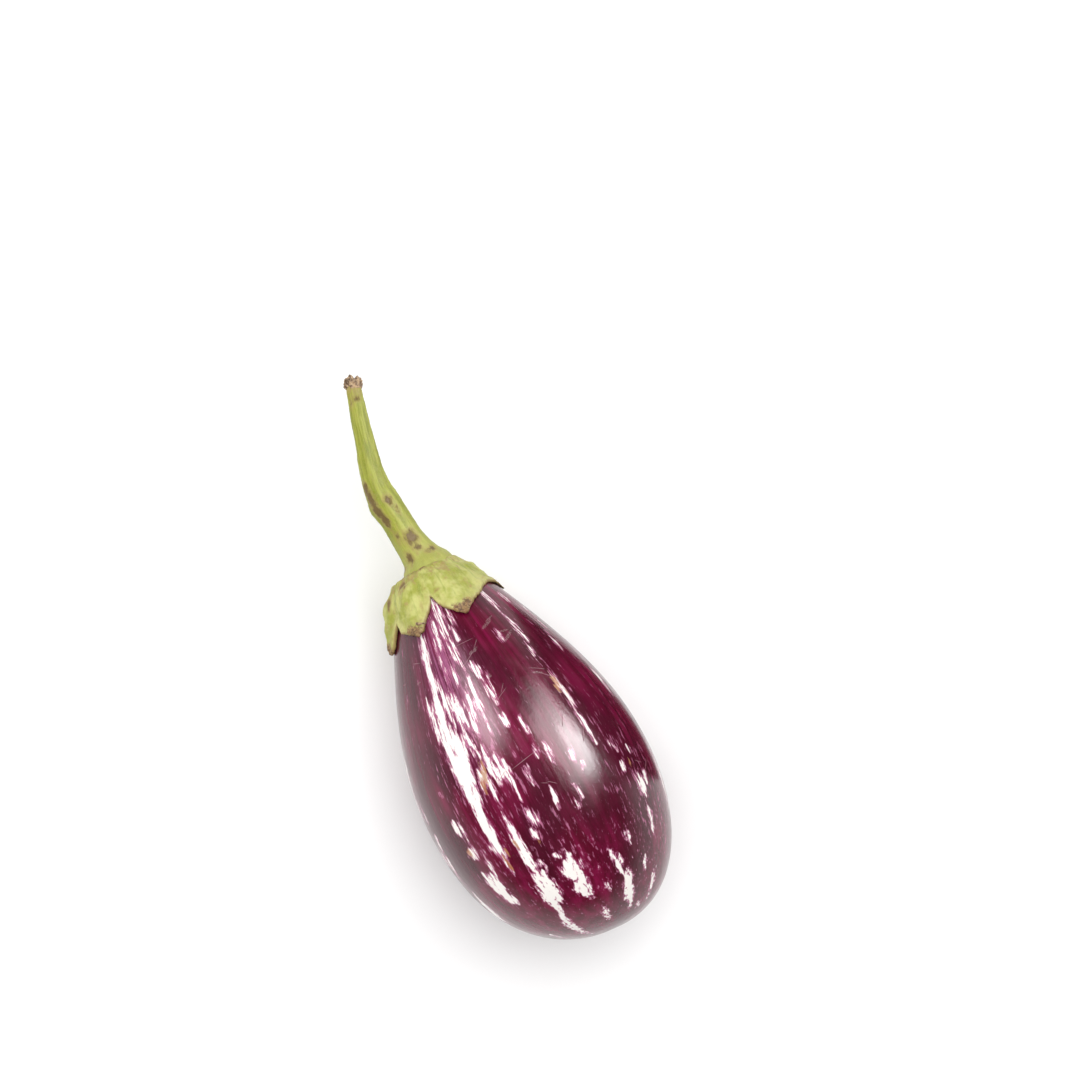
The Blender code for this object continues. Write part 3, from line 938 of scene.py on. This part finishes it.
def cap_material():
    """Matt yellow-green cap, paler at its rim, with a thin brown line along the rim that is partly dried
    edge and partly painted shade, and brown and torn at the lobe tips.
    """
    nodes = Nodes("cap_leaf")
    grain = nodes.vector("grain")
    broad = nodes.noise(grain, 0.22, 3.0, 0.6)
    veins = nodes.noise(nodes.scaled(grain, 0.25), 0.8, 3.0, 0.6)
    fine = nodes.noise(grain, 2.4, 3.0, 0.6)
    color = nodes.mix(nodes.ramp(broad, 0.38, 0.64), LEAF, LEAF_PALE)
    color = nodes.mix(nodes.ramp(veins, 0.50, 0.74, 0.0, 0.55), color, LEAF_GREEN)
    color = nodes.mix(nodes.ramp(fine, 0.45, 0.75, 0.0, 0.30), color, LEAF_PALE)
    edge = nodes.value("edge")
    color = nodes.mix(nodes.ramp(edge, 0.72, 0.97, 0.0, 0.45), color, (0.60, 0.55, 0.24))
    # Brown scuffs round the crown and on the shoulders.
    scuffs_noise = nodes.noise(nodes.scaled(grain, 1.0, (4.0, 1.0, 6.0)), 0.42, 5.0, 0.68)
    crown = nodes.ramp(edge, 0.62, 0.22, 0.0, 0.13)
    scuffs = nodes.ramp(nodes.math("ADD", scuffs_noise, crown), 0.58, 0.74)
    color = nodes.paint(color, scuffs, 0.70, BLUSH)
    dots = nodes.ramp(nodes.noise(grain, 1.5, 3.0, 0.7), 0.66, 0.74)
    color = nodes.paint(color, dots, 0.5, BROWN)
    crease = nodes.math("MULTIPLY", nodes.ramp(edge, 0.22, 0.04), nodes.ramp(scuffs_noise, 0.40, 0.56))
    color = nodes.paint(color, crease, 0.90, (0.27, 0.15, 0.07))
    # A thin brown line along the rim: partly the dried edge, partly painted shade under the rim.
    rim = nodes.ramp(edge, 0.955, 0.99)
    color = nodes.paint(color, rim, 0.7, (0.24, 0.13, 0.05))
    mark = nodes.math("MULTIPLY_ADD", scuffs_noise, 1.6, nodes.math("SUBTRACT", nodes.value("mark"), 0.8))
    color = nodes.mix(nodes.ramp(mark, -0.05, 0.45, 0.0, 0.55), color, BLUSH)
    color = nodes.mix(nodes.ramp(mark, 0.34, 0.70, 0.0, 0.85), color, (0.17, 0.095, 0.04))
    dry = nodes.math("ADD", nodes.value("dried"), nodes.math("MULTIPLY_ADD", fine, 0.9, -0.45))
    dry = nodes.ramp(dry, 0.26, 0.54)
    tip = nodes.mix(nodes.ramp(nodes.noise(grain, 1.3, 3.0), 0.42, 0.60), TAN, DARK_BROWN)
    tip = nodes.mix(nodes.ramp(fine, 0.40, 0.60, 0.0, 0.7), tip, BROWN)
    color = nodes.mix(dry, color, tip)
    nodes.feed("Base Color", color)
    nodes.fix(Roughness=0.55)
    leaf_body(nodes)
    normal = nodes.bump(veins, 0.0006, 0.35)
    normal = nodes.bump(fine, 0.0003, 0.45, normal)
    nodes.feed("Normal", normal)
    return nodes.material


def stalk_material():
    """Satin green stalk with a pale ridge, brown scars and fine fibres, darker towards its sides and
    underside as painted shade.
    """
    nodes = Nodes("stalk_green")
    grain = nodes.vector("grain")
    fibre = nodes.noise(nodes.scaled(grain, 0.10), 1.2, 4.0, 0.65)
    broad = nodes.noise(nodes.scaled(grain, 0.25), 0.30, 2.0)
    fine = nodes.noise(grain, 3.0, 3.0, 0.6)
    color = nodes.mix(nodes.ramp(fibre, 0.36, 0.66), (0.22, 0.245, 0.014), (0.37, 0.385, 0.052))
    color = nodes.mix(nodes.ramp(broad, 0.55, 0.75, 0.0, 0.6), color, (0.13, 0.175, 0.010))
    low = nodes.ramp(nodes.value("along"), 16.0, 4.0)
    color = nodes.paint(color, low, 0.45, (0.46, 0.45, 0.13))
    color = nodes.mix(nodes.ramp(fine, 0.48, 0.75, 0.0, 0.3), color, (0.50, 0.50, 0.16))
    dots = nodes.ramp(nodes.noise(grain, 1.9, 3.0, 0.7), 0.66, 0.73)
    color = nodes.paint(color, dots, 0.35, BROWN)
    # Painted shade: darker green towards the stalk's sides and underside, away from its top.
    side = nodes.ramp(nodes.value("side"), 0.30, 1.0)
    color = nodes.paint(color, side, 0.55, (0.10, 0.135, 0.008))
    mark_noise = nodes.noise(nodes.scaled(grain, 0.5), 1.4, 5.0, 0.75)
    mark = nodes.math("MULTIPLY_ADD", mark_noise, 1.8, nodes.math("SUBTRACT", nodes.value("mark"), 0.9))
    halo = nodes.ramp(mark, -0.05, 0.45)
    core = nodes.ramp(mark, 0.36, 0.80)
    color = nodes.paint(color, halo, 0.50, BLUSH)
    color = nodes.paint(color, core, 0.9, (0.135, 0.080, 0.026))
    top = nodes.ramp(nodes.value("along"), 47.5, 51.0)
    color = nodes.mix(nodes.math("MULTIPLY", top, nodes.ramp(mark_noise, 0.3, 0.6, 0.2, 0.8)), color, BLUSH)
    nodes.feed("Base Color", color)
    nodes.fix(Roughness=0.5)
    leaf_body(nodes)
    normal = nodes.bump(fibre, 0.0004, 0.4)
    normal = nodes.bump(fine, 0.0002, 0.4, normal)
    normal = nodes.bump(nodes.math("MULTIPLY", core, -1.0), 0.0002, 0.6, normal)
    nodes.feed("Normal", normal)
    return nodes.material


def dried_material():
    """Tan and fibrous, with painted shade darkening its hollow."""
    nodes = Nodes("dried_fibre")
    space = nodes.space()
    coarse = nodes.noise(space, 900.0, 3.0, 0.6)
    fine = nodes.noise(space, 2600.0, 3.0, 0.6)
    color = nodes.mix(nodes.ramp(coarse, 0.40, 0.62), (0.085, 0.042, 0.018), (0.47, 0.31, 0.17))
    color = nodes.mix(nodes.ramp(fine, 0.45, 0.7, 0.0, 0.6), color, (0.62, 0.47, 0.31))
    # Painted shade: the hollow of the cup darkened the deeper it goes.
    color = nodes.mix(nodes.ramp(nodes.value("depth"), 0.1, 0.7), color, (0.07, 0.035, 0.02))
    nodes.feed("Base Color", color)
    nodes.fix(Roughness=0.8)
    normal = nodes.bump(fine, 0.0003, 0.7)
    nodes.feed("Normal", normal)
    return nodes.material


# ---- studio

def floor_material():
    nodes = Nodes("white_floor")
    space = nodes.space()
    faint = nodes.noise(space, 3.0, 2.0)
    white = nodes.mix(nodes.ramp(faint, 0.3, 0.7), (0.94, 0.937, 0.935), (0.955, 0.953, 0.95))
    nodes.feed("Base Color", white)
    nodes.fix(Roughness=0.9, Specular_IOR_Level=0.1)
    return nodes.material


def flag_material():
    nodes = Nodes("flag_cloth")
    weave = nodes.noise(nodes.space(), 200.0, 2.0)
    nodes.feed("Base Color", nodes.mix(weave, (0.02, 0.006, 0.010), (0.05, 0.012, 0.02)))
    nodes.fix(Roughness=0.9)
    return nodes.material


def make_card(name, corners, material):
    """One flat face."""
    mesh = bpy.data.meshes.new(name)
    mesh.from_pydata(corners, [], [(0, 1, 2, 3)])
    card = add_to_scene(name, mesh)
    card.data.materials.append(material)
    return card


def make_floor():
    half = 0.5 * FLOOR_SIZE
    corners = [(-half, -half, 0.0), (half, -half, 0.0), (half, half, 0.0), (-half, half, 0.0)]
    floor = make_card("floor", corners, floor_material())
    floor.location.z = -FLOOR_DROP


def make_flag():
    """A dark card low on the right that only reflections see, as a neighbour would be."""
    flag = make_card("flag", FLAG_CORNERS, flag_material())
    flag.visible_camera = False
    flag.visible_diffuse = False
    flag.visible_shadow = False


def soft_light(name, azimuth, elevation, distance, size, power, glossy, diffuse):
    """An area light that looks at the plant from an azimuth and an elevation."""
    light = bpy.data.lights.new(name, "AREA")
    light.shape = "RECTANGLE"
    light.size, light.size_y = size
    light.energy = power
    lamp = add_to_scene(name, light)
    turn, rise = math.radians(azimuth), math.radians(elevation)
    way = Vector((math.cos(turn) * math.cos(rise), math.sin(turn) * math.cos(rise), math.sin(rise)))
    lamp.location = way * distance + Vector(LIGHT_TARGET)
    lamp.rotation_euler = way.to_track_quat("Z", "Y").to_euler()
    lamp.visible_glossy = glossy
    lamp.visible_diffuse = diffuse
    lamp.visible_camera = False


def make_sky_fill():
    """A very broad, even light, so that the floor stays white far out."""
    light = bpy.data.lights.new("sky_fill", "SUN")
    light.energy = SKY_POWER
    light.angle = SKY_SPREAD
    lamp = add_to_scene("sky_fill", light)
    lamp.rotation_euler = Vector(SKY_WAY).to_track_quat("Z", "Y").to_euler()
    lamp.visible_glossy = False


def make_world():
    """Pale low down, dim overhead, so the skin reflects little from above."""
    world = bpy.data.worlds.new("studio")
    bpy.context.scene.world = world
    world.use_nodes = True
    tree = world.node_tree
    back = tree.nodes["Background"]
    space = tree.nodes.new("ShaderNodeTexCoord")
    split = tree.nodes.new("ShaderNodeSeparateXYZ")
    fade = tree.nodes.new("ShaderNodeMapRange")
    for name, value in (("From Max", WORLD_FADE), ("To Min", WORLD_LOW), ("To Max", WORLD_HIGH)):
        fade.inputs[name].default_value = value
    color = tree.nodes.new("ShaderNodeCombineColor")
    tree.links.new(space.outputs["Generated"], split.inputs["Vector"])
    tree.links.new(split.outputs["Z"], fade.inputs["Value"])
    for channel in ("Red", "Green", "Blue"):
        tree.links.new(fade.outputs["Result"], color.inputs[channel])
    tree.links.new(color.outputs["Color"], back.inputs["Color"])
    back.inputs["Strength"].default_value = 1.0


def make_camera():
    """Straight above, turned so that the plant's axis leans as it is seen to."""
    camera = add_to_scene("camera", bpy.data.cameras.new("camera"))
    camera.data.lens = CAMERA_LENS
    camera.location = (*CAMERA_POINT, CAMERA_HEIGHT)
    camera.rotation_euler = (0.0, 0.0, VIEW_AZIMUTH)
    camera.data.clip_start = 0.01
    camera.data.clip_end = 20.0
    bpy.context.scene.camera = camera


def make_studio():
    make_floor()
    make_world()
    make_flag()
    for lamp in LAMPS:
        soft_light(*lamp)
    make_sky_fill()
    make_camera()
    bpy.context.scene.view_settings.view_transform = "Standard"


# ---- assembly

def dress(piece, material, slot, *nodes):
    piece.data.materials.append(material)
    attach(piece, "root")
    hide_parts(*nodes)


def main():
    make_studio()
    dress(make_fruit(), skin_material(), "skin", "fruit")
    dress(make_cap(), cap_material(), "cap_green", "calyx")
    dress(make_stalk(), stalk_material(), "stem_green", "stem")
    dried = dried_material()
    dress(make_dried_end(), dried, "stem_green", "stem")
    dress(make_thorn(), dried, "cap_green", "calyx")


main()
